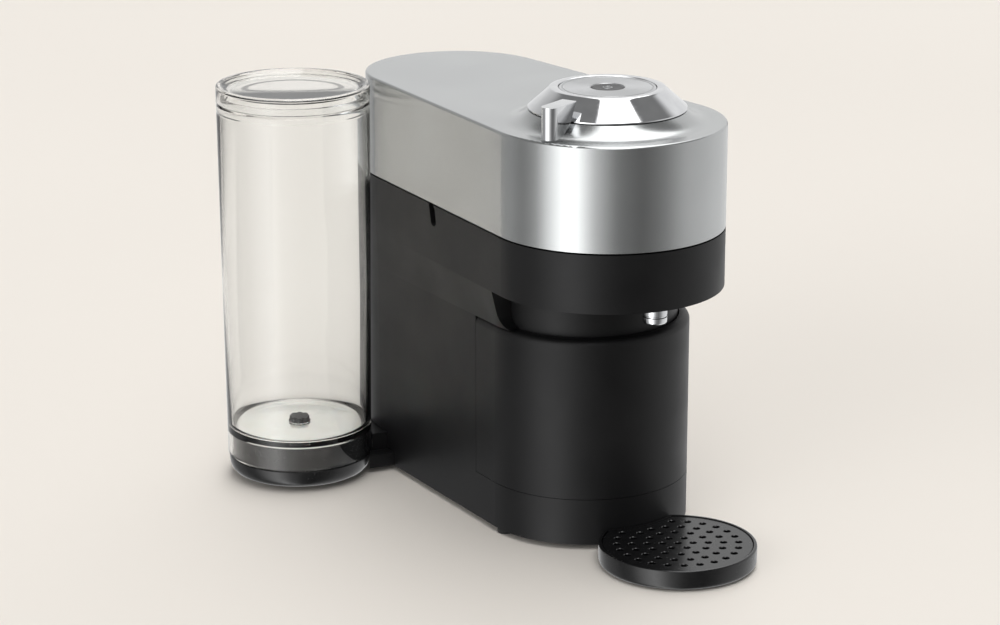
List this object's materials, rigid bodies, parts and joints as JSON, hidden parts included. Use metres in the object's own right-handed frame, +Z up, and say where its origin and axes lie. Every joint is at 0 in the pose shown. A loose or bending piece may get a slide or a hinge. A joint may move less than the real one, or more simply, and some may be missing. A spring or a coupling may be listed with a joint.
{
  "type": "pod coffee machine",
  "caption": "Slim pod coffee machine with a rounded head that tips open, a locking lever, a swivelling clear water tank, a pull-out used-pod container and a round drip tray.",
  "frame": {"origin": "on the counter, under the axis that the pod spins about, at the middle of the front foot pad", "axes": "+Z up, -Y towards the front of the machine where the cup stands, +X to the machine's right seen from behind"},
  "size_m": [0.2158, 0.3363, 0.2582],
  "materials": {
    "body_black": "satin black moulding",
    "head_silver": "satin silver paint",
    "black_inner": "plain black moulding",
    "chrome_trim": "polished chrome plate",
    "satin_disc": "fine brushed disc",
    "dark_button": "dark grey button",
    "clear_tank": "clear polished plastic",
    "tray_black": "gloss black moulding",
    "steel": "machined steel",
    "core_steel": "laminated electrical steel",
    "copper": "enamelled copper wire",
    "cast_aluminium": "as cast",
    "rubber_black": "matte rubber",
    "silicone": "translucent silicone",
    "white_plastic": "natural engineering plastic",
    "board_green": "printed circuit board"
  },
  "bodies": {
    "base": {"body_shell": "body_black", "base_plate": "black_inner", "base_screws": "steel", "feet": "rubber_black", "chassis_shelf": "black_inner", "chassis_bulkhead": "black_inner", "chassis_floor": "black_inner", "swivel_bush": "white_plastic", "mains_gland": "rubber_black", "deck": "body_black", "pod_chute": "black_inner", "brew_frame": "body_black", "motor_stator": "core_steel", "motor_coils": "copper", "motor_cover": "white_plastic", "rotor_bearing": "steel", "coffee_gutter": "black_inner", "coffee_spout": "chrome_trim", "code_reader": "tray_black", "hinge_spine": "body_black", "rotary_union": "white_plastic", "flow_meter": "white_plastic", "pump_body": "white_plastic", "pump_coil": "black_inner", "pump_bracket": "steel", "pump_spring": "steel", "thermoblock": "cast_aluminium", "power_board": "board_green", "control_board": "board_green", "water_hoses": "silicone"},
    "head": {"head_shell": "head_silver", "head_base": "body_black", "hinge_pin": "steel", "injection_housing": "black_inner", "injection_bearing": "steel", "inlet_elbow": "white_plastic", "head_hose": "silicone"},
    "knob": {"lock_bell": "black_inner", "knob_ring": "chrome_trim", "knob_disc": "satin_disc", "button_board": "board_green"},
    "button": {"brew_button": "dark_button"},
    "injector": {"injection_plate": "white_plastic", "injection_seal": "silicone"},
    "cage": {"pod_cage": "white_plastic", "rotor_shaft": "steel", "motor_rotor": "core_steel"},
    "container": {"pod_container": "body_black"},
    "tray": {"drip_tray": "tray_black", "tray_feet": "rubber_black"},
    "grid": {"drip_grid": "tray_black"},
    "swivel": {"tank_arm": "body_black", "arm_hose": "silicone", "tank_base": "body_black", "tank_coupler": "white_plastic", "tank_foot_pads": "rubber_black"},
    "tank": {"water_tank": "clear_tank", "tank_valve": "black_inner"},
    "lid": {"tank_lid": "clear_tank"},
    "piston": {"pump_piston": "steel"}
  },
  "joints": [
    {"name": "head_hinge", "type": "hinge", "parent": "base", "child": "head", "pos_m": [0, 0.203, 0.23], "axis": [-1, 0, 0], "range_deg": [0, 35]},
    {"name": "lock_turn", "type": "hinge", "parent": "head", "child": "knob", "pos_m": [0, 0, 0.24], "axis": [0, 0, 1], "range_deg": [0, 60]},
    {"name": "button_press", "type": "slide", "parent": "knob", "child": "button", "axis": [0, 0, -1], "range_m": [0, 0.0012], "stiffness_N_per_m": 600, "springref_m": -0.001},
    {"name": "injector_spin", "type": "hinge", "parent": "head", "child": "injector", "pos_m": [0, 0, 0.19], "axis": [0, 0, 1], "continuous": true},
    {"name": "cage_spin", "type": "hinge", "parent": "base", "child": "cage", "pos_m": [0, 0, 0.14], "axis": [0, 0, 1], "continuous": true},
    {"name": "container_slide", "type": "slide", "parent": "base", "child": "container", "axis": [0, -1, 0], "range_m": [0, 0.13]},
    {"name": "tray_slide", "type": "slide", "parent": "base", "child": "tray", "axis": [0, -1, 0], "range_m": [0, 0.04]},
    {"name": "grid_lift", "type": "slide", "parent": "tray", "child": "grid", "axis": [0, 0, 1], "range_m": [0, 0.04]},
    {"name": "tank_swivel", "type": "hinge", "parent": "base", "child": "swivel", "pos_m": [0, 0.1585, 0.01], "axis": [0, 0, 1], "range_deg": [-163.6, 0]},
    {"name": "tank_lift", "type": "slide", "parent": "swivel", "child": "tank", "axis": [0, 0, 1], "range_m": [0, 0.05]},
    {"name": "lid_lift", "type": "slide", "parent": "tank", "child": "lid", "axis": [0, 0, 1], "range_m": [0, 0.03]},
    {"name": "pump_stroke", "type": "slide", "parent": "base", "child": "piston", "axis": [0, 0, -1], "range_m": [0, 0.002], "stiffness_N_per_m": 300, "springref_m": -0.004, "deforming": ["pump_spring"]}
  ],
  "couplings": [
    {"joint": "injector_spin", "follows": "cage_spin", "ratio": 1}
  ]
}
